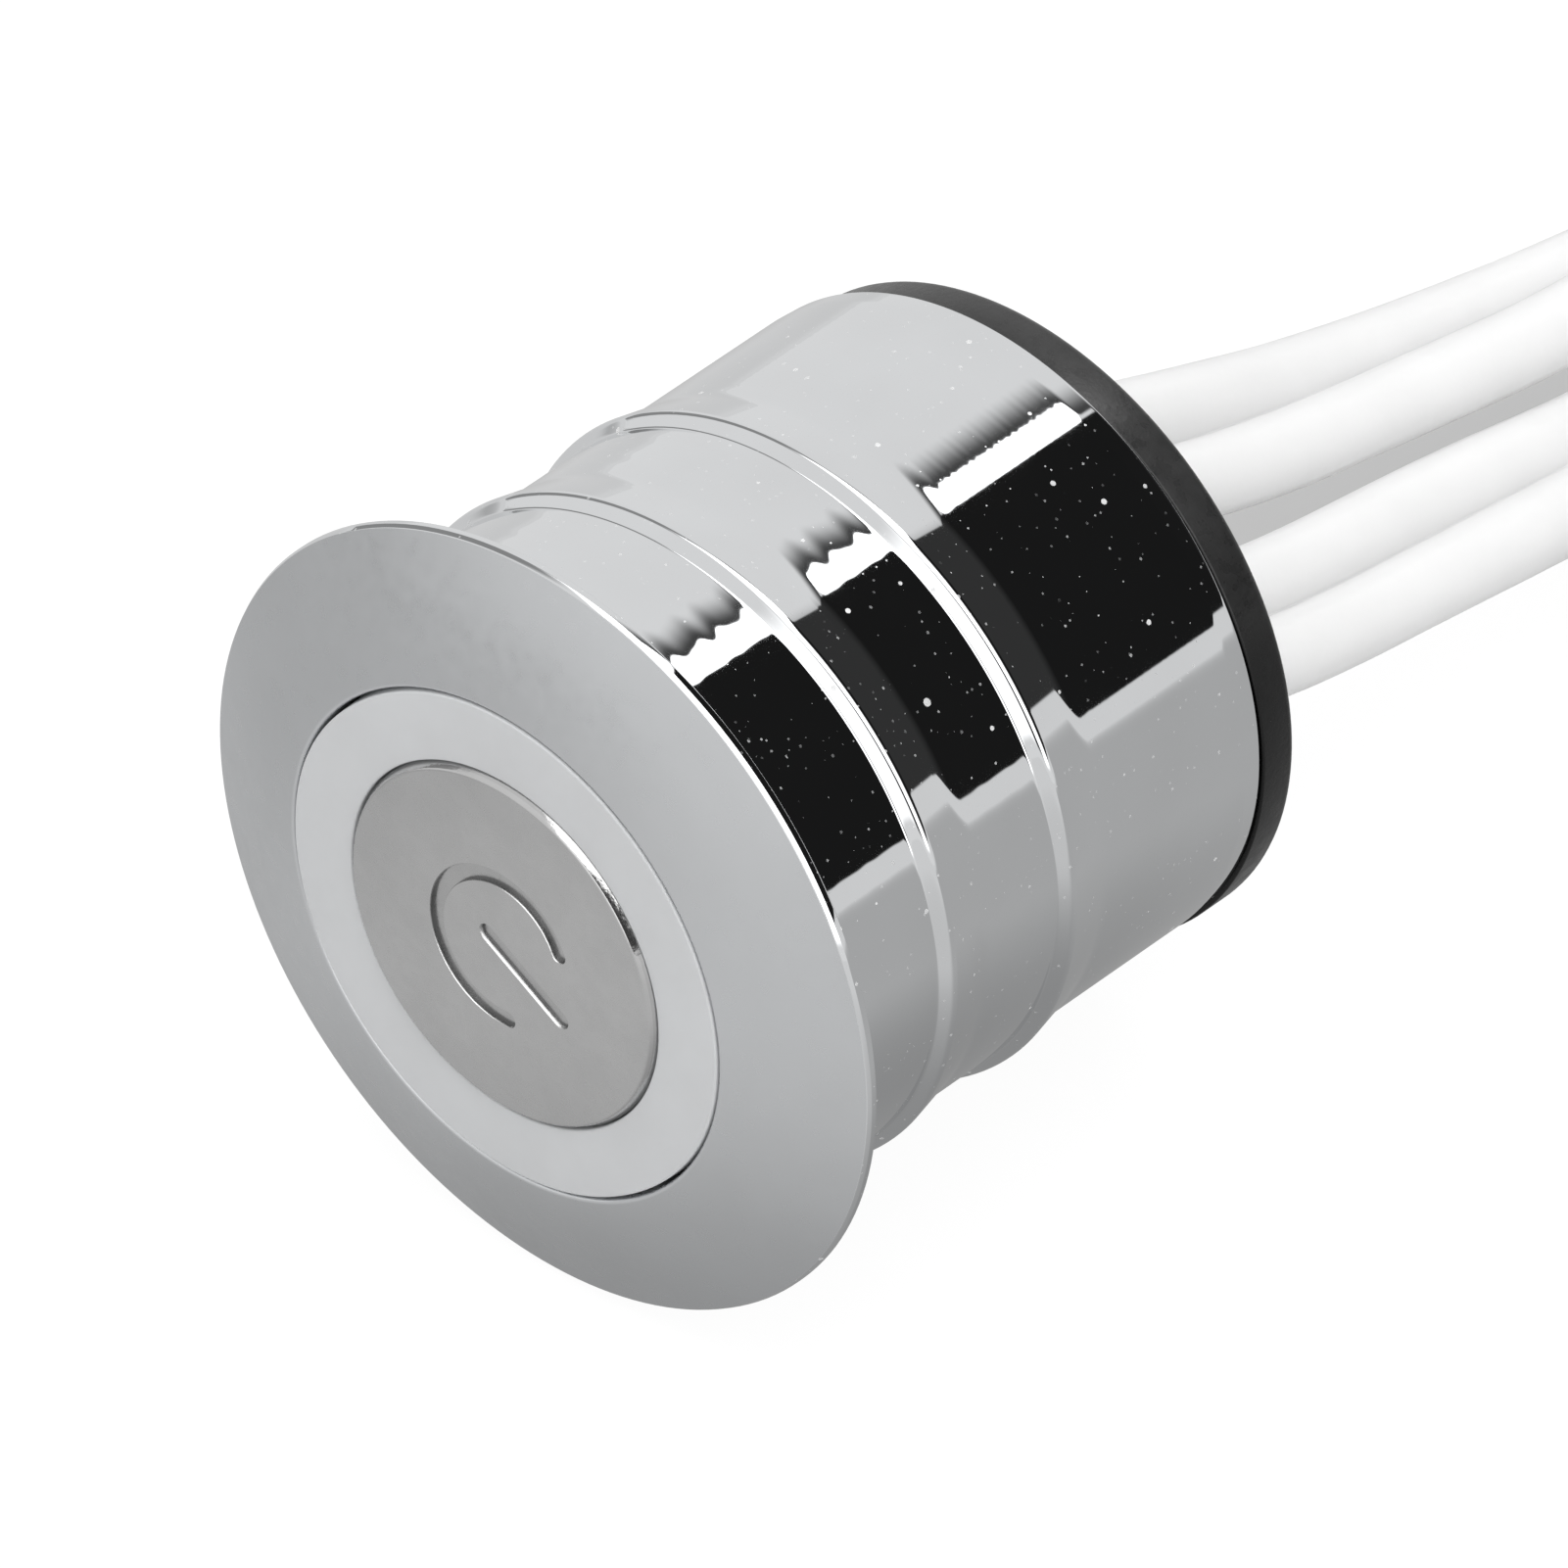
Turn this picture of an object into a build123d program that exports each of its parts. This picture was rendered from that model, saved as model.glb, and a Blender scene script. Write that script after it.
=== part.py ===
from build123d import *
import os
from math import atan, cos, degrees, pi, radians, sin, tan

# Recessed touch switch for a panel: a metal barrel with a domed flange, a round touch plate in a
# milky light ring, two round boards, a push-in rear cap and two flat twin leads.
# Millimetres. The barrel's axis is Y, the face looks along -Y and +Z is up.
# The origin is on the axis, in the plane of the flange's back, where the panel's face lies.

# Flange and barrel
flange_diameter = 20.0
rim_thickness = 0.3
rim_chamfer = 0.1
flange_rise = 1.2
dome_break_diameter = 16.0
dome_break_rise = 0.76
barrel_diameter = 16.4
barrel_length = 14.65
barrel_wall = 0.75
front_wall = 1.3

# Ring barbs that hold the barrel in the panel's hole
crest_diameter = 17.0
first_barb = 3.85
barb_pitch = 4.0
barb_count = 2
barb_flank = 0.35
barb_land = 0.2
barb_ramp = 1.15

# Light ring and touch plate
ring_diameter = 12.8
ring_gap = 0.08
ring_shoulder = 1.0
skirt_wall = 0.7
plate_diameter = 9.3
plate_thickness = 1.13
plate_rise = 0.13
plate_chamfer = 0.2
plate_gap = 0.03
plate_ledge = 1.4
stub_diameter = 2.0
stub_length = 0.6

# Touch spring
spring_wire = 0.35
spring_top_diameter = 3.0
spring_foot_diameter = 4.4
spring_turns = 2.5

# Boards
board_thickness = 1.0
board_gap = 0.1
sensor_board_depth = 2.4
board_spacing = 6.6
board_notch = 0.8

# Pin header between the boards
pin_count = 4
pin_pitch = 1.27
pin_side = 0.5
pin_hole = 0.9
pin_row_offset = 5.4
pin_tail = 0.6
holder_width = 2.0
holder_height = 1.5

# Indicator LEDs around the light ring's back
led_count = 4
led_circle = 10.8
led_first_angle = 45.0
led_length = 2.0
led_width = 1.25
led_base = 0.35
led_lens_length = 1.2
led_height = 0.8
led_chamfer = 0.18

# Chip packages
lead_frame = 0.15
chip_standoff = 0.1
touch_chip_body = (2.9, 1.6, 1.0)
touch_chip_span = 2.8
touch_chip_pitch = 0.95
touch_chip_pins = 3
touch_chip_lead = 0.4
transistor_body = (4.9, 3.9, 1.5)
transistor_span = 6.0
transistor_pitch = 1.27
transistor_pins = 4
transistor_lead = 0.4
transistor_place = (-2.6, 1.6)
regulator_body = (4.5, 2.5, 1.5)
regulator_foot = 0.8
regulator_foot_width = 0.5
regulator_foot_pitch = 1.5
regulator_tab_width = 1.7
regulator_chamfer = 0.3
regulator_place = (3.3, 2.0)
diode_body = (4.3, 2.6, 2.1)
diode_end = 0.45
diode_end_width = 1.5
diode_end_height = 1.05
diode_chamfer = 0.35
diode_place = (0.2, -2.9)

# Chip capacitors and resistors: length, width, height
capacitor_size = (2.0, 1.25, 1.0)
resistor_size = (1.6, 0.8, 0.45)
chip_end = 0.35
chip_end_step = 0.04
sensor_capacitors = ((-3.4, 1.4), (3.4, 1.4))
sensor_resistors = ((-3.4, -1.2), (3.4, -1.2), (0.0, 3.4))
power_capacitors = ((4.7, -1.6), (4.5, -3.4), (-4.4, -3.0))

# Rear cap
cap_diameter = 16.6
cap_thickness = 1.08
cap_chamfer = 0.3
spigot_wall = 0.8
spigot_gap = 0.05

# Flat twin leads: two cores side by side in one white sheath
core_diameter = 1.9
core_pitch = 1.8
core_sides = 12
lead_slot_gap = 0.14
lead_row_pitch = 4.9
lead_row_angle = 45.0
sheath_end_gap = 0.7
joint_height = 0.7
joint_diameter = 1.2
conductor_diameter = 0.65
strip_length = 4.0
lead_length = 200.0
lead_stations = 24
bend_share = 0.45
first_bend_y = 16.3

# Put-away coil of both leads, standing on edge on the surface below the flange, and its tie
coil_entry_y = 48.5
coil_start_y = 54.0
coil_slant = 180.0
coil_radius = 20.6
coil_lane = 1.95
tie_thickness = 0.5
tie_gap = 0.15
tie_width = 3.5
tie_lanes = 4
tie_angle = 75.0
tie_knot_diameter = 1.8
tie_knot_length = 9.0

# Middle of each lead's free run as (x, y, z, slant): the flat side turns on its way to the coil
supply_route = (
    (-1.73, 20.1, 0.4, 42),
    (-1.73, 24.8, -1.46, 56),
    (-1.73, 30.0, -2.88, 88),
    (-1.65, 36.5, -4.15, 94),
    (-1.35, 42.5, -4.9, 138),
)
lamp_route = (
    (1.73, 20.1, -2.97, 49),
    (1.73, 23.0, -3.87, 55),
    (1.73, 28.5, -4.7, 57),
    (1.68, 34.8, -5.83, 79),
    (1.35, 41.5, -6.5, 123),
)

# Sides of small round pieces, such as conductors, pin holes and solder joints, and of the spring's wire
small_round_sides = 8
spring_wire_sides = 6

# Sizes that follow
flange_radius = flange_diameter / 2
barrel_radius = barrel_diameter / 2
crest_radius = crest_diameter / 2
bore_radius = barrel_radius - barrel_wall
face_y = -(rim_thickness + flange_rise)
shoulder_y = face_y + front_wall
opening_radius = ring_diameter / 2 + ring_gap
plate_face_y = face_y - plate_rise
plate_back_y = plate_face_y + plate_thickness
ring_bore = plate_diameter / 2 + plate_gap
ledge_radius = ring_bore - plate_ledge
shoulder_radius = bore_radius - board_gap
ring_back_y = shoulder_y + ring_shoulder
board_radius = bore_radius - board_gap
sensor_front_y = sensor_board_depth
sensor_back_y = sensor_front_y + board_thickness
power_front_y = sensor_back_y + board_spacing
power_back_y = power_front_y + board_thickness
cap_back_y = barrel_length + cap_thickness
sheath_end_y = power_back_y + joint_height + sheath_end_gap
lead_width = core_diameter + core_pitch
floor_z = -flange_radius
coil_bottom = floor_z + tie_thickness
coil_middle = coil_bottom + lead_width / 2
coil_centre_x = coil_radius
upper_row = lead_row_pitch / 2
lower_row = -lead_row_pitch / 2
outer_lane = coil_lane / 2
inner_lane = -coil_lane / 2

# Side of a board that a chip sits on: towards the face or towards the rear
FRONT = -1
BACK = 1


def polygon_face(points):
    return make_face(Polyline(*points, close=True))


def turned_polygon(*points):
    return revolve(polygon_face(points), Axis.Y)


def small_round(diameter, sides=small_round_sides):
    flat_turn = 90 - 180 / sides
    return RegularPolygon(diameter / 2, sides, major_radius=False, rotation=flat_turn)


def barb_points():
    points = []
    for index in range(barb_count):
        foot = first_barb + index * barb_pitch
        crest = foot + barb_flank
        points += [
            (barrel_radius, foot),
            (crest_radius, crest),
            (crest_radius, crest + barb_land),
            (barrel_radius, crest + barb_land + barb_ramp),
        ]
    return points


def make_housing():
    rim_front = (flange_radius - rim_chamfer, -rim_thickness)
    return turned_polygon(
        (opening_radius, face_y),
        (dome_break_diameter / 2, -rim_thickness - dome_break_rise),
        rim_front,
        (flange_radius, -rim_thickness + rim_chamfer),
        (flange_radius, 0),
        (barrel_radius, 0),
        *barb_points(),
        (barrel_radius, barrel_length),
        (bore_radius, barrel_length),
        (bore_radius, shoulder_y),
        (opening_radius, shoulder_y),
    )


def make_light_ring():
    ring_radius = ring_diameter / 2
    return turned_polygon(
        (ring_bore, face_y),
        (ring_radius, face_y),
        (ring_radius, shoulder_y),
        (shoulder_radius, shoulder_y),
        (shoulder_radius, sensor_front_y),
        (shoulder_radius - skirt_wall, sensor_front_y),
        (shoulder_radius - skirt_wall, ring_back_y),
        (ledge_radius, ring_back_y),
        (ledge_radius, plate_back_y),
        (ring_bore, plate_back_y),
    )


def make_touch_plate():
    plate_radius = plate_diameter / 2
    stub_radius = stub_diameter / 2
    return turned_polygon(
        (0, plate_face_y),
        (plate_radius - plate_chamfer, plate_face_y),
        (plate_radius, plate_face_y + plate_chamfer),
        (plate_radius, plate_back_y),
        (stub_radius, plate_back_y),
        (stub_radius, plate_back_y + stub_length),
        (0, plate_back_y + stub_length),
    )


def make_touch_spring():
    height = sensor_front_y - plate_back_y - spring_wire
    top_radius = spring_top_diameter / 2
    widening = (spring_foot_diameter - spring_top_diameter) / 2
    path = Helix(
        pitch=height / spring_turns,
        height=height,
        radius=top_radius,
        center=(0, plate_back_y + spring_wire / 2, 0),
        direction=(0, 1, 0),
        cone_angle=degrees(atan(widening / height)),
    )
    wire = small_round(spring_wire, spring_wire_sides)
    return sweep((path ^ 0) * wire, path=path, is_frenet=True)


def pin_columns():
    first = -(pin_count - 1) / 2 * pin_pitch
    return [first + index * pin_pitch for index in range(pin_count)]


def seat(surface_y, side, place):
    return Plane((place[0], surface_y, place[1]), x_dir=(1, 0, 0), z_dir=(0, side, 0))


def make_board(front_y):
    outline = Circle(board_radius) - Pos(0, -board_radius) * Circle(board_notch)
    for column in pin_columns():
        outline -= Pos(column, pin_row_offset) * small_round(pin_hole)
    return extrude(seat(front_y, BACK, (0, 0)) * outline, board_thickness)


def block(length, width, height, bottom=0.0):
    return Pos(0, 0, bottom) * Box(length, width, height, align=(Align.CENTER, Align.CENTER, Align.MIN))


def gull_wing_chip(body, span, pins, pitch, lead):
    length, width, height = body
    chip = block(length, width, height, chip_standoff)
    middle = chip_standoff + height / 2
    knee = (width + span) / 4
    outline = (
        (width / 2 - lead_frame, middle - lead_frame / 2),
        (knee - lead_frame / 2, middle - lead_frame / 2),
        (knee - lead_frame / 2, 0),
        (span / 2, 0),
        (span / 2, lead_frame),
        (knee + lead_frame / 2, lead_frame),
        (knee + lead_frame / 2, middle + lead_frame / 2),
        (width / 2 - lead_frame, middle + lead_frame / 2),
    )
    wing = extrude(Plane.YZ * polygon_face(outline), lead / 2, both=True)
    for index in range(pins):
        column = Pos((index - (pins - 1) / 2) * pitch, 0, 0) * wing
        chip += column
        chip += mirror(column, Plane.XZ)
    return chip


def make_regulator():
    length, width, height = regulator_body
    body = chamfer(block(length, width, height).edges().group_by(Axis.Z)[-1], regulator_chamfer)
    reach = width / 2 + regulator_foot
    for column in (-regulator_foot_pitch, 0, regulator_foot_pitch):
        foot = block(regulator_foot_width, reach, lead_frame)
        body += Pos(column, -reach / 2, 0) * foot
    return body + Pos(0, reach / 2, 0) * block(regulator_tab_width, reach, lead_frame)


def make_diode():
    length, width, height = diode_body
    body = chamfer(block(length, width, height).edges().group_by(Axis.Z)[-1], diode_chamfer)
    ends = block(length + 2 * diode_end, diode_end_width, diode_end_height)
    return body + ends


def two_ended_chip(size):
    length, width, height = size
    middle = block(length - chip_end, width - 2 * chip_end_step, height - chip_end_step)
    end = block(chip_end, width, height)
    offset = (length - chip_end) / 2
    return middle + Pos(-offset, 0, 0) * end + Pos(offset, 0, 0) * end


def make_led():
    lens = block(led_lens_length, led_width, led_height)
    return block(led_length, led_width, led_base) + chamfer(lens.edges().group_by(Axis.Z)[-1], led_chamfer)


def make_indicator_leds():
    leds = []
    for index in range(led_count):
        angle = led_first_angle + index * 360 / led_count
        place = (led_circle / 2 * cos(radians(angle)), led_circle / 2 * sin(radians(angle)))
        leds.append(seat(sensor_front_y, FRONT, place) * Rot(0, 0, 90 - angle) * make_led())
    return leds


def make_capacitors():
    chip = two_ended_chip(capacitor_size)
    on_sensor = [seat(sensor_back_y, BACK, place) * chip for place in sensor_capacitors]
    return on_sensor + [seat(power_front_y, FRONT, place) * chip for place in power_capacitors]


def make_resistors():
    chip = two_ended_chip(resistor_size)
    return [seat(sensor_back_y, BACK, place) * chip for place in sensor_resistors]


def make_pins():
    start = sensor_front_y - pin_tail
    end = power_back_y + pin_tail
    pin = Box(pin_side, end - start, pin_side)
    return [Pos(column, (start + end) / 2, -pin_row_offset) * pin for column in pin_columns()]


def make_pin_holder():
    holder = block(pin_count * pin_pitch, holder_width, holder_height)
    for column in pin_columns():
        holder -= Pos(column, 0, 0) * block(pin_side, pin_side, holder_height)
    return seat(sensor_back_y, BACK, (0, -pin_row_offset)) * holder


def row_point(distance):
    angle = radians(lead_row_angle)
    return (-sin(angle) * distance, cos(angle) * distance)


def across(slant):
    return (-sin(radians(slant)), 0, cos(radians(slant)))


def lead_corners(gap=0.0):
    reach = (core_diameter / 2 + gap) / cos(pi / core_sides)
    corners = []
    for index in range(core_sides):
        angle = (2 * index + 1) * pi / core_sides
        shift = core_pitch / 2 if cos(angle) > 0 else -core_pitch / 2
        corners.append((shift + reach * cos(angle), reach * sin(angle)))
    return corners


def make_rear_cap():
    cap_radius = cap_diameter / 2
    spigot_radius = bore_radius - spigot_gap
    cap = turned_polygon(
        (0, cap_back_y),
        (cap_radius - cap_chamfer, cap_back_y),
        (cap_radius, cap_back_y - cap_chamfer),
        (cap_radius, barrel_length),
        (spigot_radius, barrel_length),
        (spigot_radius, power_back_y),
        (spigot_radius - spigot_wall, power_back_y),
        (spigot_radius - spigot_wall, barrel_length),
        (0, barrel_length),
    )
    slot = polygon_face(lead_corners(lead_slot_gap))
    for distance in (upper_row, lower_row):
        x, z = row_point(distance)
        plane = Plane((x, barrel_length, z), x_dir=across(lead_row_angle), z_dir=(0, 1, 0))
        cap -= extrude(plane * slot, cap_thickness)
    return cap


def core_points(distance):
    return [row_point(distance + side * core_pitch / 2) for side in (-1, 1)]


def make_solder_joints():
    joint = small_round(joint_diameter)
    places = core_points(upper_row) + core_points(lower_row)
    return [extrude(seat(power_back_y, BACK, place) * joint, joint_height) for place in places]


def slant_at(y, bends):
    for (_, start_y, _, start_slant), (_, end_y, _, end_slant) in zip(bends, bends[1:]):
        if y < end_y:
            share = max(0, (y - start_y) / (end_y - start_y))
            return start_slant + share * (end_slant - start_slant)
    return coil_slant


def section_at(path, share, bends):
    place = path @ share
    plane = Plane(place, x_dir=across(slant_at(place.Y, bends)), z_dir=path % share)
    return [plane.from_local_coords((u, v, 0)) for u, v in lead_corners()]


def skin(sections):
    faces = [polygon_face(sections[0]), polygon_face(sections[-1])]
    for near, far in zip(sections, sections[1:]):
        for index in range(core_sides):
            faces.append(polygon_face((near[index - 1], near[index], far[index - 1])))
            faces.append(polygon_face((near[index], far[index], far[index - 1])))
    return Solid(Shell(faces))


def bend_radii(points):
    vectors = [Vector(*b) - Vector(*a) for a, b in zip(points, points[1:])]
    radii = []
    for before, after in zip(vectors, vectors[1:]):
        turn = radians(before.get_angle(after))
        radii.append(bend_share * min(before.length, after.length) / tan(turn / 2))
    return radii


def make_lead(name, distance, route, lane):
    x, z = row_point(distance)
    first_bend = (x, first_bend_y, z, lead_row_angle)
    last_bend = (-lane, coil_entry_y, coil_middle, coil_slant)
    bends = (first_bend, *route, last_bend)
    points = [(x, sheath_end_y, z), *[bend[:3] for bend in bends], (-lane, coil_start_y, coil_middle)]
    radii = bend_radii(points)
    path = FilletPolyline(*points, radius=radii)
    exit_share = (cap_back_y - sheath_end_y) / path.length
    step = (1 - exit_share) / lead_stations
    shares = [0, *[exit_share + index * step for index in range(lead_stations)], 1]
    lead = skin([section_at(path, share, bends) for share in shares])
    print(name, "bend radii", [round(radius, 1) for radius in radii])
    full_volume = polygon_face(lead_corners()).area * path.length
    print(name, "volume", round(lead.volume, 2), "section times length", round(full_volume, 2))
    return lead, path.length


def sector(centre_x, inner, outer, start, sweep_angle):
    plane = Plane((centre_x, coil_start_y, coil_bottom))
    inner_arc = plane * CenterArc((0, 0), inner, start, sweep_angle)
    outer_arc = plane * CenterArc((0, 0), outer, start, sweep_angle)
    ends = [Line(inner_arc @ 0, outer_arc @ 0), Line(inner_arc @ 1, outer_arc @ 1)]
    return extrude(make_face([inner_arc, outer_arc, *ends]), lead_width, dir=(0, 0, 1))


def lane_radii(lane):
    return [coil_radius + lane - turn * coil_lane for turn in range(3)]


def last_turn_angle(free_length, lane):
    first, second, third = lane_radii(lane)
    wound = lead_length - strip_length - free_length
    return (wound - pi * (first + second)) / third


def make_lane(lane, last_angle):
    half = coil_lane / 2
    first, second, third = lane_radii(lane)
    band = sector(coil_centre_x, first - half, first + half, 180, -180)
    band += sector(coil_centre_x + coil_lane, second - half, second + half, 0, -180)
    return band + sector(coil_centre_x, third - half, third + half, 180, -degrees(last_angle))


def far_end_plane(lane, last_angle):
    radius = lane_radii(lane)[2]
    heading = pi - last_angle
    place = (coil_centre_x + radius * cos(heading), coil_start_y + radius * sin(heading), coil_middle)
    return Plane(place, x_dir=(0, 0, 1), z_dir=(sin(heading), -cos(heading), 0))


def make_lead_ends(distance, lane, last_angle):
    conductor = small_round(conductor_diameter)
    inner_length = sheath_end_y - power_back_y - joint_height
    ends = []
    for place in core_points(distance):
        ends.append(extrude(seat(sheath_end_y, FRONT, place) * conductor, inner_length))
    plane = far_end_plane(lane, last_angle)
    for side in (-1, 1):
        ends.append(extrude(plane * Pos(side * core_pitch / 2, 0) * conductor, strip_length))
    return ends


def make_coil_tie():
    angle = radians(180 - tie_angle)
    middle_radius = coil_radius - coil_lane
    place = (
        coil_centre_x + middle_radius * cos(angle),
        coil_start_y + middle_radius * sin(angle),
        coil_middle,
    )
    plane = Plane(place, x_dir=(cos(angle), sin(angle), 0), z_dir=(sin(angle), -cos(angle), 0))
    inner_width = tie_lanes * coil_lane + 2 * tie_gap
    outer_width = inner_width + 2 * tie_thickness
    outer_height = lead_width + 2 * tie_thickness
    loop = RectangleRounded(outer_width, outer_height, 2 * tie_thickness)
    loop -= Rectangle(inner_width, lead_width)
    tie = extrude(plane * loop, tie_width / 2, both=True)
    knot_z = coil_middle + outer_height / 2 + tie_knot_diameter / 2 - tie_thickness / 2
    knot_plane = Plane((place[0], place[1], knot_z), z_dir=(cos(angle), sin(angle), 0))
    return tie + extrude(knot_plane * Circle(tie_knot_diameter / 2), tie_knot_length / 2, both=True)


def save(name, solids):
    shape = Compound(children=list(solids)) if isinstance(solids, list) else solids
    export_step(shape, f"parts/{name}.step")


os.makedirs("parts", exist_ok=True)

save("housing", make_housing())
save("light_ring", make_light_ring())
save("touch_plate", make_touch_plate())
save("touch_spring", make_touch_spring())

save("sensor_board", make_board(sensor_front_y))
save("indicator_leds", make_indicator_leds())
touch_chip = gull_wing_chip(
    touch_chip_body, touch_chip_span, touch_chip_pins, touch_chip_pitch, touch_chip_lead
)
save("touch_chip", seat(sensor_back_y, BACK, (0, 0)) * touch_chip)

save("header_pins", make_pins())
save("pin_holder", make_pin_holder())

save("power_board", make_board(power_front_y))
transistor = gull_wing_chip(
    transistor_body, transistor_span, transistor_pins, transistor_pitch, transistor_lead
)
save("power_transistor", seat(power_front_y, FRONT, transistor_place) * transistor)
save("voltage_regulator", seat(power_front_y, FRONT, regulator_place) * make_regulator())
save("protection_diode", seat(power_front_y, FRONT, diode_place) * make_diode())
save("chip_capacitors", make_capacitors())
save("chip_resistors", make_resistors())
save("solder_joints", make_solder_joints())

save("rear_cap", make_rear_cap())

# The upper lead brings the supply in and runs in the coil's outer lane, the lower one feeds the lamp
supply_lead, supply_run = make_lead("supply_lead", upper_row, supply_route, outer_lane)
lamp_lead, lamp_run = make_lead("lamp_lead", lower_row, lamp_route, inner_lane)
inside = cap_back_y - sheath_end_y
supply_angle = last_turn_angle(supply_run - inside, outer_lane)
lamp_angle = last_turn_angle(lamp_run - inside, inner_lane)
print("last turns in degrees", round(degrees(supply_angle), 1), round(degrees(lamp_angle), 1))
save("supply_lead", supply_lead)
save("lamp_lead", lamp_lead)
save("supply_lead_ends", make_lead_ends(upper_row, outer_lane, supply_angle))
save("lamp_lead_ends", make_lead_ends(lower_row, inner_lane, lamp_angle))
save("lead_coil", make_lane(outer_lane, supply_angle) + make_lane(inner_lane, lamp_angle))
save("coil_tie", make_coil_tie())
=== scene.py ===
from math import atan2, cos, hypot, pi, radians, sin, tan

import bmesh
import bpy
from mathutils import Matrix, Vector


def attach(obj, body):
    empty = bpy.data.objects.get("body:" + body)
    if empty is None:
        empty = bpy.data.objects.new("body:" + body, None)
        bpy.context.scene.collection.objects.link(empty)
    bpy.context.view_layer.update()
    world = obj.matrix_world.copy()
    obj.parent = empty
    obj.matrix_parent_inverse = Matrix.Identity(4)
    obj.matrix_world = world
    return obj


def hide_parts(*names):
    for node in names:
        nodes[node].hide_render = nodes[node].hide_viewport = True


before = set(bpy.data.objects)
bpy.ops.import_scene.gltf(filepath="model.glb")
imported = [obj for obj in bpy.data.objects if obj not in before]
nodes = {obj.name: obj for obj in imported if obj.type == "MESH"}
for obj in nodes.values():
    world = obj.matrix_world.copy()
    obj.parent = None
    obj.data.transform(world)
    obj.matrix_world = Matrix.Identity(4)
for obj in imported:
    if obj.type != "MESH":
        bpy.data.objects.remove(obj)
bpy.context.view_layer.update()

scene = bpy.context.scene
scene.view_settings.view_transform = "Standard"

# Shapes are in millimetres and go into the meshes in metres. The camera and the studio are in metres.
MM = 0.001


# Camera

LENS = 614.1
SENSOR_WIDTH = 36.0
NEAREST_SEEN = 0.01
FARTHEST_SEEN = 20.0
CAMERA_PLACE = (0.319125, -0.341271, 0.376608)
CAMERA_TILT = radians(90 - 38.592)
CAMERA_TURN = radians(42.434)


def add_camera():
    data = bpy.data.cameras.new("camera")
    data.lens = LENS
    data.sensor_width = SENSOR_WIDTH
    data.clip_start = NEAREST_SEEN
    data.clip_end = FARTHEST_SEEN
    camera = bpy.data.objects.new("camera", data)
    camera.location = CAMERA_PLACE
    camera.rotation_euler = (CAMERA_TILT, 0, CAMERA_TURN)
    scene.collection.objects.link(camera)
    scene.camera = camera


add_camera()


# Mesh helpers

def make_mesh(name, points, faces):
    """A mesh with every face turned outwards."""
    mesh = bpy.data.meshes.new(name)
    mesh.from_pydata([Vector(point) * MM for point in points], [], faces)
    shell = bmesh.new()
    shell.from_mesh(mesh)
    bmesh.ops.recalc_face_normals(shell, faces=shell.faces)
    shell.to_mesh(mesh)
    shell.free()
    return mesh


def add_piece(name, points, faces, slot, smooth_angle=40.0):
    mesh = make_mesh(name, points, faces)
    mesh.polygons.foreach_set("use_smooth", [True] * len(mesh.polygons))
    mesh.set_sharp_from_angle(angle=radians(smooth_angle))
    mesh.update()
    piece = bpy.data.objects.new(name, mesh)
    scene.collection.objects.link(piece)
    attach(piece, "root")
    return piece


def loft(rings, closed=False):
    """Points and faces of a tube through rings of equally many points, with flat ends unless it closes."""
    count = len(rings[0])
    points = [point for ring in rings for point in ring]
    faces = []
    last = len(rings) if closed else len(rings) - 1
    for row in range(last):
        near = row * count
        far = (row + 1) % len(rings) * count
        for column in range(count):
            after = (column + 1) % count
            faces.append((near + column, near + after, far + after, far + column))
    if not closed:
        faces.append(tuple(reversed(range(count))))
        faces.append(tuple(range(len(points) - count, len(points))))
    return points, faces


def joined(parts):
    """Points and faces of several parts as one mesh."""
    points, faces = [], []
    for more, sides in parts:
        faces += [tuple(len(points) + corner for corner in face) for face in sides]
        points += more
    return points, faces


def rounded(corners, steps=6):
    """Profile through corners (radius, y, fillet radius), with an arc at each corner that has a fillet."""
    profile = []
    for index, (r, y, fillet) in enumerate(corners):
        here = Vector((r, y))
        before = Vector(corners[index - 1][:2]) - here
        after = Vector(corners[(index + 1) % len(corners)][:2]) - here
        if fillet == 0:
            profile.append((r, y))
            continue
        half = before.angle(after) / 2
        reach = fillet / tan(half)
        centre = here + (before.normalized() + after.normalized()).normalized() * (fillet / sin(half))
        start = here + before.normalized() * reach - centre
        end = here + after.normalized() * reach - centre
        turn = start.angle_signed(end)
        first = atan2(start.y, start.x)
        for step in range(steps + 1):
            angle = first - turn * step / steps
            profile.append((centre.x + fillet * cos(angle), centre.y + fillet * sin(angle)))
    return profile


def turned(profile, segments):
    """Points and faces of a closed profile of (radius, y) turned about the Y axis."""
    rings = []
    for column in range(segments):
        angle = 2 * pi * column / segments
        rings.append([(r * cos(angle), y, r * sin(angle)) for r, y in profile])
    return loft(rings, closed=True)


def turned_solid(corners, segments):
    """Points and faces of a solid turned about the Y axis, with the first and last corner on the axis."""
    angles = [2 * pi * column / segments for column in range(segments)]
    profile = rounded(corners)[1:-1]
    return loft([[(r * cos(angle), y, r * sin(angle)) for angle in angles] for r, y in profile])


# Leads: each follows the smooth curve of its own route, and its flat side turns on the way

CORE = 1.9
PITCH = 1.8
EXIT = 1.7324
LANE = 1.95
COIL_Y = 54.0
COIL_Z = -7.65
COIL_RADIUS = 20.6
COIL_STEP = radians(15)
SUPPLY_LAST_ANGLE = radians(87.2)
LAMP_LAST_ANGLE = radians(145.6)
POINTS_EVENED_OUT = 5

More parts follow.
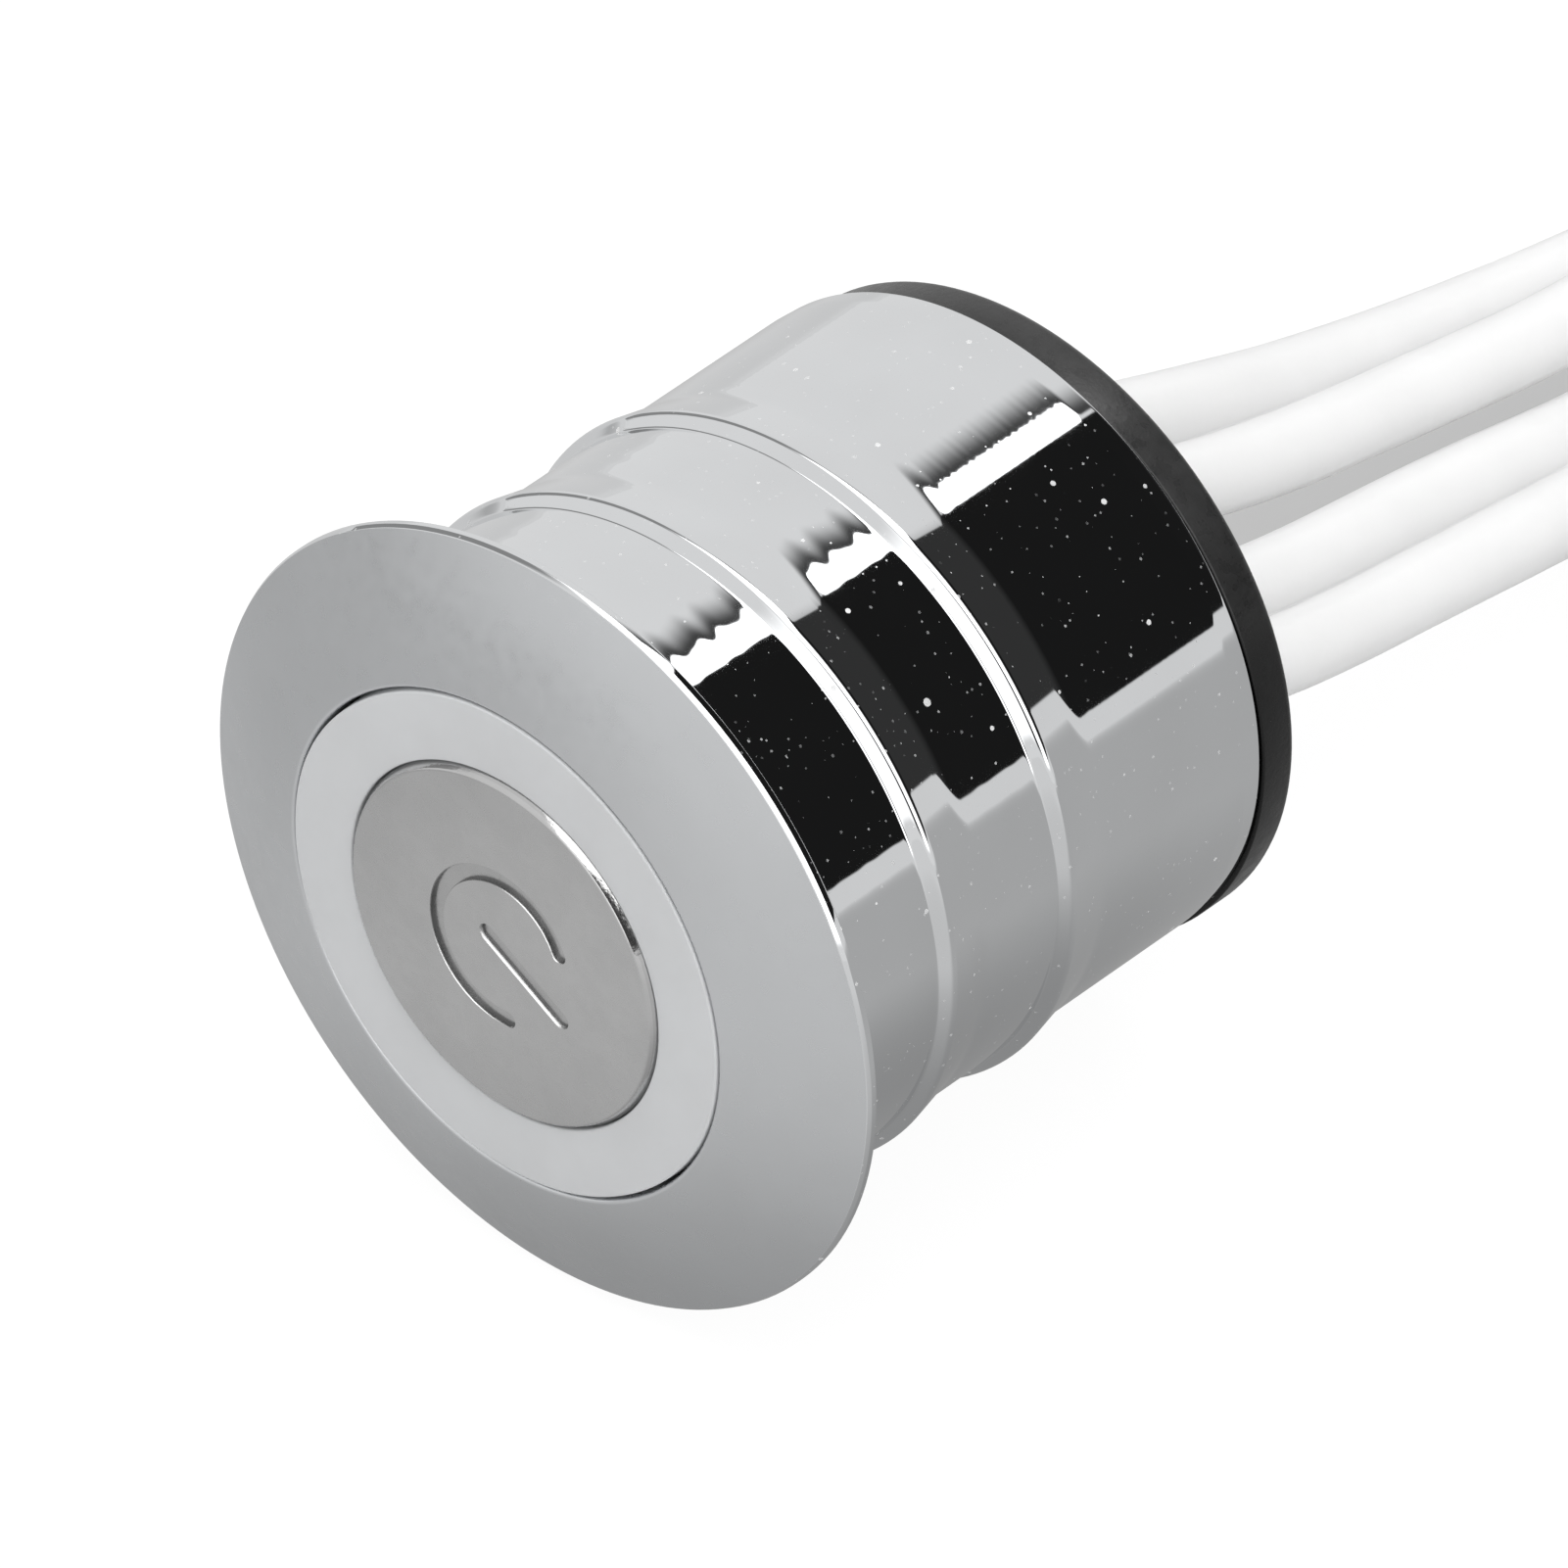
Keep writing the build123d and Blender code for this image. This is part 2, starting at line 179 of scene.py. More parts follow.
# Points x, y, z and the slant of the flat side in degrees
supply_route = [
    (-EXIT, 12.4, EXIT, 45), (-EXIT, 16.3, EXIT, 45), (-1.73, 20.1, 0.25, 40), (-1.73, 24.8, -1.5, 56),
    (-1.73, 30.0, -2.89, 89), (-1.65, 36.5, -4.25, 93), (-1.35, 42.5, -4.4, 139),
    (-LANE / 2, 48.5, COIL_Z, 180), (-LANE / 2, COIL_Y, COIL_Z, 180),
]
lamp_route = [
    (EXIT, 12.4, -EXIT, 45), (EXIT, 16.3, -EXIT, 45), (1.73, 20.1, -3.0, 49), (1.73, 23.0, -3.88, 56),
    (1.73, 28.5, -4.69, 56), (1.68, 34.8, -5.86, 79), (1.35, 41.5, -6.4, 123),
    (LANE / 2, 48.5, COIL_Z, 180), (LANE / 2, COIL_Y, COIL_Z, 180),
]


def coil_points(lane, last_angle):
    """Control points of one lead's turns: two half turns and a last part, each a little tighter."""
    points = []
    sections = [
        (COIL_RADIUS, COIL_RADIUS + lane, pi, 0.0),
        (COIL_RADIUS + LANE, COIL_RADIUS + lane - LANE, 0.0, -pi),
        (COIL_RADIUS, COIL_RADIUS + lane - 2 * LANE, pi, pi - last_angle),
    ]
    for centre_x, radius, start, end in sections:
        count = round((start - end) / COIL_STEP)
        for index in range(count):
            angle = start + (end - start) * (index + 0.5) / count
            reach = radius / cos((start - end) / count / 2)
            points.append((centre_x + reach * cos(angle), COIL_Y + reach * sin(angle), COIL_Z))
    centre_x, radius, start, end = sections[-1]
    points.append((centre_x + radius * cos(end), COIL_Y + radius * sin(end), COIL_Z))
    return points


def smooth_path(name, points):
    curve = bpy.data.curves.new(name, "CURVE")
    curve.dimensions = "3D"
    curve.resolution_u = 8
    spline = curve.splines.new("NURBS")
    spline.points.add(len(points) - 1)
    for place, point in zip(spline.points, points):
        place.co = (*point, 1)
    spline.order_u = 3
    spline.use_endpoint_u = True
    line = bpy.data.objects.new(name, curve)
    mesh = bpy.data.meshes.new_from_object(line)
    path = [vertex.co.copy() for vertex in mesh.vertices]
    bpy.data.objects.remove(line)
    bpy.data.meshes.remove(mesh)
    return path


def slants(path, route):
    """The flat side's slant at each point of the path, evened out over the points near it."""
    knots = [(point[1], point[3]) for point in route]
    raw = []
    wound = False
    for place in path:
        wound = wound or place.y >= knots[-2][0]
        slant = knots[-1][1]
        if not wound:
            for (y0, s0), (y1, s1) in zip(knots, knots[1:]):
                if y0 <= place.y <= y1:
                    slant = s0 + (s1 - s0) * (place.y - y0) / (y1 - y0)
        raw.append(slant)
    even = []
    for index in range(len(raw)):
        near = raw[max(0, index - POINTS_EVENED_OUT):index + POINTS_EVENED_OUT + 1]
        even.append(sum(near) / len(near))
    return even


def path_frames(path, slant_list):
    """Place, direction across the cores, direction out of the flat side and direction ahead, by point."""
    frames = []
    for index, place in enumerate(path):
        ahead = path[min(index + 1, len(path) - 1)] - path[max(index - 1, 0)]
        ahead.normalize()
        slant = radians(slant_list[index])
        across = Vector((-sin(slant), 0, cos(slant)))
        across -= ahead * across.dot(ahead)
        across.normalize()
        frames.append((place, across, ahead.cross(across), ahead))
    return frames


def twin_outline(steps=14, reach=158):
    """Two round cores side by side, with a groove between them on each flat side."""
    outline = []
    for side in (1, -1):
        for step in range(steps + 1):
            angle = radians(-reach + 2 * reach * step / steps)
            u = PITCH / 2 + CORE / 2 * cos(angle)
            outline.append((side * u, side * CORE / 2 * sin(angle)))
    return outline


def add_lead(name, route, lane, last_angle):
    points = [point[:3] for point in route] + coil_points(lane, last_angle)
    path = smooth_path(name + "_line", points)
    frames = path_frames(path, slants(path, route))
    outline = twin_outline()
    rings = [[place + across * u + flat * v for u, v in outline] for place, across, flat, ahead in frames]
    return add_piece(name, *loft(rings), "white_sheath"), path, frames


# Bare ends of the leads: a middle strand with others twisted round it in each core

OUTER_STRANDS = 6
STRAND_RADIUS = 0.11
STRAND_OFFSET = 0.205
STRAND_ROWS = 12
STRAND_SIDES = 8


def strands(end, length, turns):
    """Strands standing out of both cores at one end of a lead."""
    place, across, flat, ahead = end
    parts = []
    for side in (-1, 1):
        for strand in range(OUTER_STRANDS + 1):
            off = STRAND_OFFSET if strand < OUTER_STRANDS else 0.0
            rings = []
            for row in range(STRAND_ROWS + 1):
                share = row / STRAND_ROWS
                turn = 2 * pi * (strand / OUTER_STRANDS + turns * share)
                middle = place + across * (side * PITCH / 2 + off * cos(turn)) + flat * (off * sin(turn))
                middle = middle + ahead * (length * share)
                ring = []
                for corner in range(STRAND_SIDES):
                    angle = 2 * pi * corner / STRAND_SIDES
                    out = across * (STRAND_RADIUS * cos(angle))
                    ring.append(middle + out + flat * (STRAND_RADIUS * sin(angle)))
                rings.append(ring)
            parts.append(loft(rings))
    return joined(parts)


def add_ends(name, frames):
    place, across, flat, ahead = frames[0]
    inner = strands((place, across, flat, -ahead), length=0.7, turns=0.1)
    outer = strands(frames[-1], length=4.0, turns=0.8)
    return add_piece(name, *joined([inner, outer]), "tinned_metal")


# Twist tie: a ribbed ribbon round the four lanes, with its tails twisted on top

TIE_ANGLE = radians(105)
TIE_HALF_WIDTH = 1.75
LOOP_HALF_WIDTH = 4.3
LOOP_HALF_HEIGHT = 2.1
LOOP_CORNER = 0.9
CORNER_STEPS = 8
TAIL_HEIGHT = 3.0
TAIL_HALF_LENGTH = 4.5
TAIL_HALF_WIDTH = 0.85
TAIL_TURNS = 2.25
TAIL_ROWS = 60

# Half of the ribbon's outline: thin edges with the wire's rib between them
ribbon = [
    (-TIE_HALF_WIDTH, 0.07), (-0.42, 0.1), (-0.15, 0.24), (0.15, 0.24), (0.42, 0.1), (TIE_HALF_WIDTH, 0.07),
]


def loop_path():
    """Points (across, up) and outward normals round the tie's loop."""
    places = []
    for corner, (side, top) in enumerate(((1, 1), (-1, 1), (-1, -1), (1, -1))):
        for step in range(CORNER_STEPS + 1):
            angle = radians(90 * corner + 90 * step / CORNER_STEPS)
            normal = (cos(angle), sin(angle))
            across = side * (LOOP_HALF_WIDTH - LOOP_CORNER) + LOOP_CORNER * normal[0]
            up = top * (LOOP_HALF_HEIGHT - LOOP_CORNER) + LOOP_CORNER * normal[1]
            places.append(((across, up), normal))
    return places


def add_tie():
    out = Vector((cos(TIE_ANGLE), sin(TIE_ANGLE), 0))
    along = Vector((sin(TIE_ANGLE), -cos(TIE_ANGLE), 0))
    up = Vector((0, 0, 1))
    centre = Vector((COIL_RADIUS, COIL_Y, COIL_Z)) + out * (COIL_RADIUS - LANE)
    outline = ribbon + [(s, -t) for s, t in reversed(ribbon)]
    loop = []
    for (across, height), normal in loop_path():
        lift = out * normal[0] + up * normal[1]
        place = centre + out * across + up * height
        loop.append([place + along * s + lift * t for s, t in outline])
    tail = []
    for row in range(TAIL_ROWS + 1):
        share = row / TAIL_ROWS
        turn = 2 * pi * TAIL_TURNS * share
        place = centre + up * TAIL_HEIGHT + out * (TAIL_HALF_LENGTH * (2 * share - 1))
        wide = along * cos(turn) + up * sin(turn)
        thick = up * cos(turn) - along * sin(turn)
        tail.append([place + wide * (s / TIE_HALF_WIDTH * TAIL_HALF_WIDTH) + thick * t for s, t in outline])
    points, faces = joined([loft(loop, closed=True), loft(tail)])
    return add_piece("twist_tie", points, faces, "tie_sleeve", smooth_angle=50)


supply, supply_path, supply_frames = add_lead("supply_cable", supply_route, LANE / 2, SUPPLY_LAST_ANGLE)
lamp, lamp_path, lamp_frames = add_lead("lamp_cable", lamp_route, -LANE / 2, LAMP_LAST_ANGLE)
supply_ends = add_ends("supply_strands", supply_frames)
lamp_ends = add_ends("lamp_strands", lamp_frames)
tie = add_tie()
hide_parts("supply_lead", "lead_coil")
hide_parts("lamp_lead")
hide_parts("supply_lead_ends")
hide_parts("lamp_lead_ends")
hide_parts("coil_tie")


# Housing: a plated barrel with ring barbs and a satin flange

FLANGE = 9.95
BARREL = 8.27
BARREL_END = 14.74
CREST = 8.53
BORE = 7.45
OPENING = 6.48
SEAT = -0.2
OUTSIDE_FROM = 8.0
LONGEST_STRETCH = 0.05

# Turning marks: height, pace along the barrel and shift of each wave
BROAD_MARKS = ((0.0018, 8.4, 0.6), (0.0005, 13.5, 0.0))
FINE_MARKS = ((0.00014, 22, 0.0), (0.00012, 31, 0.0))
FINE_FROM = 10.0
MARKS_START = 0.2
MARKS_END = 14.1
MARKS_REACH = 0.05
LEAST_MARK = 0.3


def ripple(y):
    """Faint turning marks under the plating: broad ones up to the last barb, fine ones behind it."""
    marks = BROAD_MARKS if y < FINE_FROM else FINE_MARKS
    return sum(height * sin(pace * y + shift) for height, pace, shift in marks)


def barb(foot):
    return [
        (BARREL, foot, 0.1), (CREST, foot + 0.27, 0.22), (CREST, foot + 0.38, 0.1), (BARREL, foot + 1.6, 1.6),
    ]


housing_corners = [
    (OPENING, -1.5, 0.09), (8.0, -1.06, 14.0), (9.9, -0.29, 0.04), (FLANGE, -0.18, 0.05), (FLANGE, 0.0, 0.05),
    (BARREL, 0.0, 0.1), *barb(3.85), *barb(7.85), (BARREL, 14.2, 1.5), (8.23, BARREL_END, 0.05),
    (BORE, BARREL_END, 0.05), (BORE, SEAT, 0.0), (OPENING, SEAT, 0.0),
]


def divided(profile):
    """The profile with each straight stretch on the barrel's outside cut into short lengths."""
    fine = []
    for (r0, y0), (r1, y1) in zip(profile, profile[1:] + profile[:1]):
        outside = min(r0, r1) > OUTSIDE_FROM and min(y0, y1) >= 0
        parts = max(1, round(hypot(r1 - r0, y1 - y0) / LONGEST_STRETCH)) if outside else 1
        for part in range(parts):
            share = part / parts
            fine.append((r0 + (r1 - r0) * share, y0 + (y1 - y0) * share))
    return fine


def add_housing():
    """The turning marks show most on the barrel's upper side."""
    points, faces = turned(divided(rounded(housing_corners)), segments=176)
    marked = []
    for x, y, z in points:
        r = hypot(x, z)
        on_barrel = abs(r - BARREL) < MARKS_REACH and MARKS_START < y < MARKS_END
        factor = 1 + ripple(y) * max(LEAST_MARK, z / r) ** 2 / r if on_barrel else 1
        marked.append((x * factor, y, z * factor))
    return add_piece("chromed_housing", marked, faces, "chromed_metal", smooth_angle=30)


housing = add_housing()
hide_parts("housing")


# Light ring

ring_corners = [
    (4.68, -1.5, 0.05), (6.45, -1.5, 0.06), (6.45, SEAT, 0), (7.35, SEAT, 0), (7.35, 2.4, 0),
    (6.65, 2.4, 0), (6.65, 0.8, 0), (3.28, 0.8, 0), (3.28, -0.5, 0), (4.68, -0.5, 0),
]
RING_SIDE = (6.3, 6.5)
RING_OVAL = 0.07
RING_OVAL_TURN = radians(132)


def add_ring():
    """The moulded ring is a touch oval, so the gap round it opens at two ends."""
    points, faces = turned(rounded(ring_corners), segments=192)
    oval = []
    for x, y, z in points:
        r = hypot(x, z)
        turn = atan2(z, x) - RING_OVAL_TURN
        outside = RING_SIDE[0] < r < RING_SIDE[1] and y < SEAT
        factor = 1 - RING_OVAL / r * max(0.0, cos(2 * turn)) ** 3 if outside else 1
        oval.append((x * factor, y, z * factor))
    return add_piece("milky_ring", oval, faces, "milky_plastic", smooth_angle=30)


ring = add_ring()
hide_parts("light_ring")


# Cuts

CUT_SHARP = 40
FLAT_FACE = 0.999


def cut_out(piece, rings):
    """Take the solid through the rings out of the piece, whose flat faces stay flat."""
    cutter = bpy.data.objects.new("cutter", make_mesh("cutter", *loft(rings)))
    scene.collection.objects.link(cutter)
    cut = piece.modifiers.new("cut", "BOOLEAN")
    cut.operation = "DIFFERENCE"
    cut.solver = "EXACT"
    cut.object = cutter
    bpy.context.view_layer.update()
    shaped = bpy.data.meshes.new_from_object(piece.evaluated_get(bpy.context.evaluated_depsgraph_get()))
    piece.modifiers.clear()
    piece.data = shaped
    bpy.data.objects.remove(cutter)
    for face in shaped.polygons:
        face.use_smooth = abs(face.normal.y) < FLAT_FACE
    shaped.set_sharp_from_angle(angle=radians(CUT_SHARP))


# Touch plate: a satin disc with the engraved power sign, an open circle with a bar

PLATE_FACE = -1.63
PLATE_EDGE = 4.52
STUB = 1.0
SIGN_RADIUS = 1.94
SIGN_HALF_WIDTH = 0.2
SIGN_DEPTH = 0.12
SIGN_TURN = radians(-30)
SIGN_OPENING = radians(53)
CIRCLE_STEPS = 120
CIRCLE_BEVEL = (0.018, 0.03)
BAR_BEVEL = (0.045, 0.075)
BAR_START = -0.45
BAR_END = 2.12
END_STEPS = 12
ABOVE_FACE = 0.1


def half_turn(u, v, start):
    return [(u, v, start + pi * step / END_STEPS) for step in range(1, END_STEPS)]


def circle_stations():
    """Places (u, v, outward direction) round the open circle's groove, with half turns at its ends."""
    arc = 2 * pi - 2 * SIGN_OPENING
    angles = [SIGN_OPENING + arc * step / CIRCLE_STEPS for step in range(CIRCLE_STEPS + 1)]
    places = [(SIGN_RADIUS * cos(angle), SIGN_RADIUS * sin(angle)) for angle in angles]
    stations = [(*place, angle) for place, angle in zip(places, angles)]
    stations += half_turn(*places[-1], angles[-1])
    stations += [(*place, angle + pi) for place, angle in zip(places[::-1], angles[::-1])]
    return stations + half_turn(*places[0], angles[0] + pi)


def bar_stations():
    """Places (u, v, outward direction) round the bar's groove."""
    there = [(BAR_START, 0, -pi / 2), (BAR_END, 0, -pi / 2)] + half_turn(BAR_END, 0, -pi / 2)
    back = [(BAR_END, 0, pi / 2), (BAR_START, 0, pi / 2)] + half_turn(BAR_START, 0, pi / 2)
    return there + back


def groove(stations, bevel):
    """Rings of the solid that leaves a groove with a bevelled rim and upright walls.

    The bevel goes on past the face by half its depth, so that the cut meets the face on a slope.
    """
    bevel_width, bevel_depth = bevel
    rim = SIGN_HALF_WIDTH + bevel_width * 1.5
    rows = [
        (rim, -ABOVE_FACE), (rim, -bevel_depth / 2), (SIGN_HALF_WIDTH, bevel_depth),
        (SIGN_HALF_WIDTH, SIGN_DEPTH),
    ]
    rings = []
    for offset, depth in rows:
        ring = []
        for u, v, direction in reversed(stations):
            u, v = u + offset * cos(direction), v + offset * sin(direction)
            x = u * cos(SIGN_TURN) - v * sin(SIGN_TURN)
            z = u * sin(SIGN_TURN) + v * cos(SIGN_TURN)
            ring.append((x, PLATE_FACE + depth, z))
        rings.append(ring)
    return rings


def add_plate():
    corners = [
        (0, 0.1, 0), (STUB, 0.1, 0.1), (STUB, -0.5, 0.05), (4.67, -0.5, 0.1), (4.65, -1.4, 0.1),
        (PLATE_EDGE, PLATE_FACE, 0.08), (0, PLATE_FACE, 0),
    ]
    plate = add_piece("engraved_plate", *turned_solid(corners, segments=240), "satin_metal")
    cut_out(plate, groove(circle_stations(), CIRCLE_BEVEL))
    cut_out(plate, groove(bar_stations(), BAR_BEVEL))
    return plate


plate = add_plate()
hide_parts("touch_plate")


# Rear cap: a moulded disc with a spigot and one slot for each lead, pushed a little to one side of its bore

CAP = 8.16
CAP_FACE = 15.91
CAP_BACK = 14.8
CAP_FLOOR = 14.65
CAP_SHIFT = (0.13, -0.12)
SPIGOT = 7.25
SPIGOT_BORE = 6.6
SPIGOT_END = 11.0
SLOT_ENDS = (13.5, 17.0)
SLOT_SLANT = radians(45)
SLOT_ROOM_LONG = 1.04
SLOT_ROOM_WIDE = 1.06


def slot_rings(centre):
    rings = []
    for y in SLOT_ENDS:
        ring = []
        for u, v in twin_outline(steps=12, reach=150):
            u, v = u * SLOT_ROOM_LONG, v * SLOT_ROOM_WIDE
            x = centre[0] - sin(SLOT_SLANT) * u + cos(SLOT_SLANT) * v
            z = centre[1] + cos(SLOT_SLANT) * u + sin(SLOT_SLANT) * v
            ring.append((x, y, z))
        rings.append(ring)
    return rings


def add_cap():
    corners = [
        (0, CAP_FACE, 0), (CAP, CAP_FACE, 0.25), (CAP, CAP_BACK, 0.05), (SPIGOT, CAP_BACK, 0),
        (SPIGOT, SPIGOT_END, 0), (SPIGOT_BORE, SPIGOT_END, 0), (SPIGOT_BORE, CAP_FLOOR, 0), (0, CAP_FLOOR, 0),
    ]
    points, faces = turned_solid(corners, segments=160)
    points = [(x + CAP_SHIFT[0], y, z + CAP_SHIFT[1]) for x, y, z in points]
    cap = add_piece("moulded_cap", points, faces, "black_plastic")
    cut_out(cap, slot_rings((-EXIT, EXIT)))
    cut_out(cap, slot_rings((EXIT, -EXIT)))
    return cap


cap = add_cap()
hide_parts("rear_cap")


# Node trees

NOISE_SPAN = (0.3, 0.7)


class Graph:
    """A node tree with short ways to add and join nodes."""

    def __init__(self, tree):
        self.tree = tree

    def add(self, kind, **values):
        made = self.tree.nodes.new(kind)
        for key, value in values.items():
            setattr(made, key, value)
        return made

    def join(self, source, target):
        self.tree.links.new(source, target)

    def put(self, value, socket):
        if isinstance(value, (int, float)):
            socket.default_value = value
        else:
            self.join(value, socket)

    def maths(self, operation, first, second=0.0):
        node = self.add("ShaderNodeMath", operation=operation)
        self.put(first, node.inputs[0])
        self.put(second, node.inputs[1])
        return node.outputs["Value"]

    def line(self, value, slope, offset):
        return self.maths("ADD", self.maths("MULTIPLY", value, slope), offset)

    def levels(self, value, low, high, to_low, to_high, smooth=False):
        node = self.add("ShaderNodeMapRange")
        if smooth:
            node.interpolation_type = "SMOOTHSTEP"
        for name, number in (("From Min", low), ("From Max", high), ("To Min", to_low), ("To Max", to_high)):
            node.inputs[name].default_value = number
        self.join(value, node.inputs["Value"])
        return node.outputs["Result"]

    def rise(self, value, low, high):
        return self.levels(value, low, high, 0.0, 1.0, smooth=True)

    def fall(self, value, low, high):
        return self.levels(value, low, high, 1.0, 0.0, smooth=True)

    def within(self, value, start, end):
        """One between two spans of the value, zero outside them."""
        return self.both(self.rise(value, *start), self.fall(value, *end))

    def blend(self, share, first, second):
        kept = self.maths("MULTIPLY", self.maths("SUBTRACT", 1.0, share), first)
        return self.maths("ADD", kept, self.maths("MULTIPLY", share, second))

    def both(self, first, *others):
        for other in others:
            first = self.maths("MULTIPLY", first, other)
        return first

    def split(self, vector):
        node = self.add("ShaderNodeSeparateXYZ")
        self.join(vector, node.inputs["Vector"])
        return node.outputs


class Finish(Graph):
    """A material round one principled shader, with textures in the piece's own coordinates."""

    def __init__(self, name):
        self.material = bpy.data.materials.new(name)
        self.material.use_nodes = True
        super().__init__(self.material.node_tree)
        self.shader = self.tree.nodes["Principled BSDF"]
        self.output = self.tree.nodes["Material Output"]
        self.place = self.add("ShaderNodeTexCoord").outputs["Object"]

    def settle(self, **values):
        for key, value in values.items():
            self.shader.inputs[key.replace("_", " ")].default_value = value

    def feed(self, name, socket):
        self.join(socket, self.shader.inputs[name])

    def noise(self, scale, detail):
        texture = self.add("ShaderNodeTexNoise")
        texture.inputs["Scale"].default_value = scale
        texture.inputs["Detail"].default_value = detail
        self.join(self.place, texture.inputs["Vector"])
        return texture.outputs["Fac"]

    def cells(self, scale):
        texture = self.add("ShaderNodeTexVoronoi")
        texture.inputs["Scale"].default_value = scale
        self.join(self.place, texture.inputs["Vector"])
        chance = self.add("ShaderNodeSeparateColor")
        self.join(texture.outputs["Color"], chance.inputs["Color"])
        return texture.outputs["Distance"], chance.outputs["Red"], chance.outputs["Green"]

    def bands(self, scale, direction):
        texture = self.add("ShaderNodeTexWave", wave_type="BANDS", bands_direction=direction)
        texture.inputs["Scale"].default_value = scale
        self.join(self.place, texture.inputs["Vector"])
        return texture.outputs["Fac"]

    def tones(self, scale, detail, dark, pale):
        """Noise between two colours."""
        ramp = self.add("ShaderNodeValToRGB")
        for point, place, colour in zip(ramp.color_ramp.elements, NOISE_SPAN, (dark, pale)):
            point.position = place
            point.color = (*colour, 1)
        self.join(self.noise(scale, detail), ramp.inputs["Fac"])
        return ramp.outputs["Color"]

    def grain(self, scale, detail, low, high):
        """Noise between two values."""
        return self.levels(self.noise(scale, detail), *NOISE_SPAN, low, high)

    def mix(self, share, first, second):
        node = self.add("ShaderNodeMixRGB")
        self.join(share, node.inputs["Fac"])
        self.join(first, node.inputs["Color1"])
        self.join(second, node.inputs["Color2"])
        return node.outputs["Color"]

    def bump(self, height, strength, distance):
        node = self.add("ShaderNodeBump")
        node.inputs["Strength"].default_value = strength
        node.inputs["Distance"].default_value = distance
        self.join(height, node.inputs["Height"])
        self.join(node.outputs["Normal"], self.shader.inputs["Normal"])


def grey(value, tint=0.0):
    return (value - tint, value, value + tint)


# Finishes

# Depth past which the floor of the sign's groove gets painted shade
SUNK_FLOOR = PLATE_FACE + 0.1
BRIGHT_EDGE = (4.5 * MM, 4.54 * MM)
# Heights over which the black plastic's painted sheen grows paler towards the top
PAINTED_SHEEN_TOP = (2.0 * MM, 6.5 * MM)
LED_BASE = 2.05


def specks(made, scale, chance, size, weakest, strongest):
    """Dust grains: one in a share of the cells, each with its own size and strength."""
    distance, luck, strength = made.cells(scale)
    reach = made.levels(luck, 1.0 - chance, 1.0, 0.0, size)
    grain = made.maths("LESS_THAN", distance, reach)
    return made.maths("MULTIPLY", grain, made.levels(strength, 0.0, 1.0, weakest, strongest))


def chrome():
    """Bright plating with dust of three sizes on it."""
    made = Finish("bright_plating")
    fine = specks(made, 5000, 0.8, 0.2, 0.03, 0.4)
    middling = specks(made, 2000, 0.5, 0.14, 0.2, 0.8)
    coarse = specks(made, 1000, 0.5, 0.11, 0.7, 1.0)
    dust = made.maths("MAXIMUM", made.maths("MAXIMUM", fine, middling), coarse)
    plating = made.tones(350, 3, grey(0.78, 0.01), grey(0.81, 0.012))
    grains = made.tones(900, 1, grey(0.6), grey(0.8))
    made.feed("Base Color", made.mix(dust, plating, grains))
    made.feed("Metallic", made.maths("SUBTRACT", 1.0, dust))
    made.feed("Roughness", made.blend(dust, made.grain(900, 3, 0.02, 0.045), 0.6))
    return made.material


def metal(name, colour, roughness):
    """Plain metal: colour and roughness each give a noise's scale and detail and its two ends."""
    made = Finish(name)
    made.settle(Metallic=1.0)
    made.feed("Base Color", made.tones(*colour))
    made.feed("Roughness", made.grain(*roughness))
    return made.material


def satin():
    """Fine grain on the face, painted shade on the floor of the sign and a bright edge."""
    made = Finish("satin_plate")
    made.settle(Metallic=1.0)
    x, y, z = made.split(made.place)
    face = made.tones(700, 5, grey(0.6), grey(0.64))
    # Painted shade: a darker colour on the floor of the sign's groove, where shade falls
    painted_groove_shade = made.tones(700, 5, grey(0.54), grey(0.58))
    made.feed("Base Color", made.mix(made.maths("GREATER_THAN", y, SUNK_FLOOR * MM), face, painted_groove_shade))
    out = made.maths("SQRT", made.maths("ADD", made.maths("POWER", x, 2.0), made.maths("POWER", z, 2.0)))
    made.feed("Roughness", made.blend(made.rise(out, *BRIGHT_EDGE), made.grain(4000, 3, 0.2, 0.32), 0.1))
    made.bump(made.noise(8000, 3), 0.15, 0.00002)
    return made.material


def milky():
    made = Finish("milky_plastic")
    made.settle(Roughness=0.32, IOR=1.49)
    made.feed("Base Color", made.tones(500, 3, grey(0.57, 0.008), grey(0.6, 0.01)))
    made.bump(made.noise(5000, 2), 0.06, 0.00002)
    return made.material


def moulded_black():
    """Black plastic, paler towards the top with a painted sheen."""
    made = Finish("moulded_black")
    made.settle(Specular_IOR_Level=0.4)
    shiny = made.tones(1500, 4, grey(0.002), grey(0.004))
    # Painted sheen: a paler colour towards the top, where the light falls
    painted_sheen = made.tones(1500, 4, grey(0.024), grey(0.036))
    top = made.rise(made.split(made.place)["Z"], *PAINTED_SHEEN_TOP)
    made.feed("Base Color", made.mix(top, shiny, painted_sheen))
    made.feed("Roughness", made.grain(3000, 2, 0.24, 0.34))
    made.bump(made.noise(7000, 3), 0.25, 0.00003)
    return made.material


def sheath():
    made = Finish("white_sheath")
    made.settle(Roughness=0.42, IOR=1.5)
    made.settle(Subsurface_Weight=0.5, Subsurface_Radius=(1, 1, 1), Subsurface_Scale=0.8 * MM)
    made.feed("Base Color", made.tones(300, 4, grey(0.78), grey(0.81)))
    made.bump(made.noise(2500, 3), 0.06, 0.00004)
    return made.material


def ribbed_sleeve():
    made = Finish("ribbed_sleeve")
    made.settle(Roughness=0.5)
    made.feed("Base Color", made.tones(600, 3, grey(0.76), grey(0.82)))
    made.bump(made.bands(900, "DIAGONAL"), 0.3, 0.00006)
    return made.material


